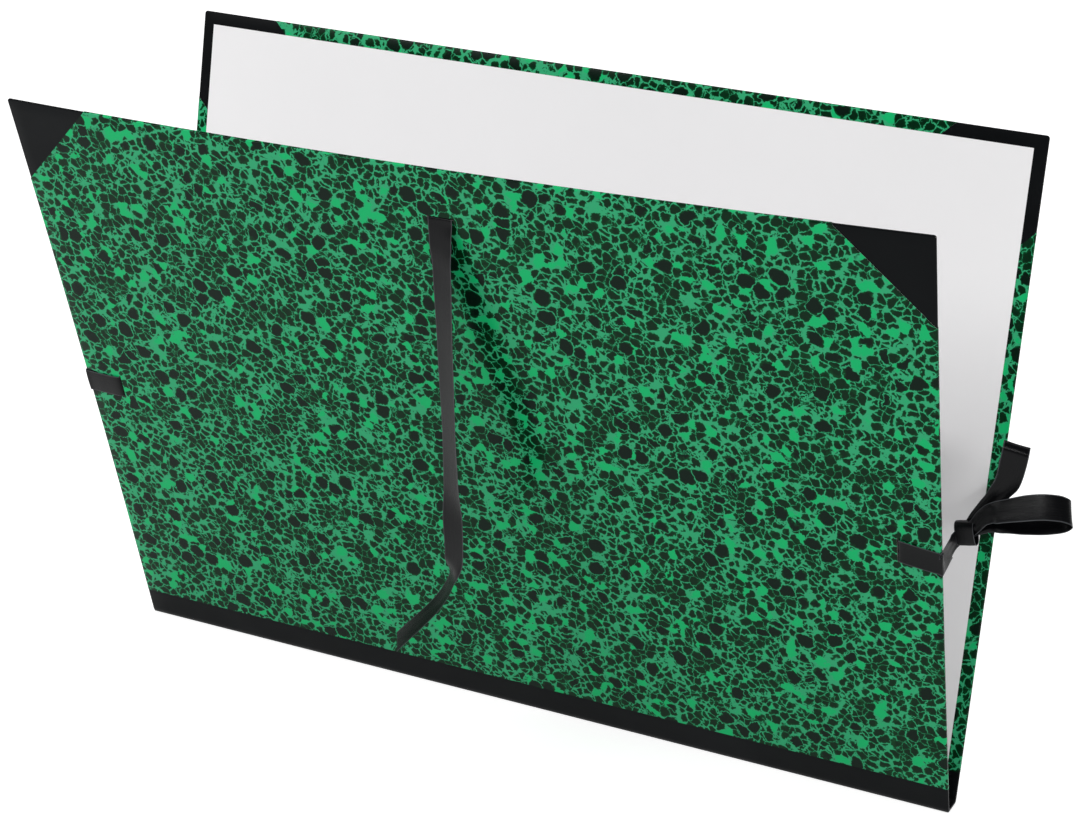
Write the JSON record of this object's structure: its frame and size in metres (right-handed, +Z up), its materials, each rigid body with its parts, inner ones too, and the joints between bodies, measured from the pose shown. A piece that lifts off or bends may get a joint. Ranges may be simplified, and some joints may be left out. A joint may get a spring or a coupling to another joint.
{
  "type": "drawing portfolio",
  "caption": "Large drawing portfolio with marbled paper covers, cloth spine and corners, pale lining and ribbon ties, standing open in a V on its spine.",
  "frame": {"origin": "middle of the spine's flat underside", "axes": "+X along the spine to the right as seen from the front cover, +Y from the front cover to the back cover, +Z up"},
  "size_m": [0.8073, 0.2633, 0.4951],
  "materials": {
    "greyboard": "matt",
    "marbled_paper": "glossy marbled green and black",
    "lining_paper": "matt",
    "black_cloth": "fine coated bookcloth",
    "satin_ribbon": "satin"
  },
  "bodies": {
    "back_cover": {"back_board": "greyboard", "back_cover_paper": "marbled_paper", "back_lining": "lining_paper", "back_left_corner": "black_cloth", "back_right_corner": "black_cloth", "spine_cloth": "black_cloth", "hinge_strip": "black_cloth", "back_top_ribbon": "satin_ribbon", "back_left_ribbon": "satin_ribbon", "back_right_ribbon": "satin_ribbon"},
    "front_cover": {"front_board": "greyboard", "front_cover_paper": "marbled_paper", "front_lining": "lining_paper", "front_left_corner": "black_cloth", "front_right_corner": "black_cloth", "front_top_ribbon": "satin_ribbon", "front_left_ribbon": "satin_ribbon", "front_right_ribbon": "satin_ribbon"}
  },
  "joints": [
    {"name": "cover_hinge", "type": "hinge", "parent": "back_cover", "child": "front_cover", "pos_m": [0, -0.0068, 0.0012], "axis": [-1, 0, 0], "range_deg": [0, 23], "deforming": ["spine_cloth", "hinge_strip", "front_right_ribbon", "back_right_ribbon"]}
  ]
}
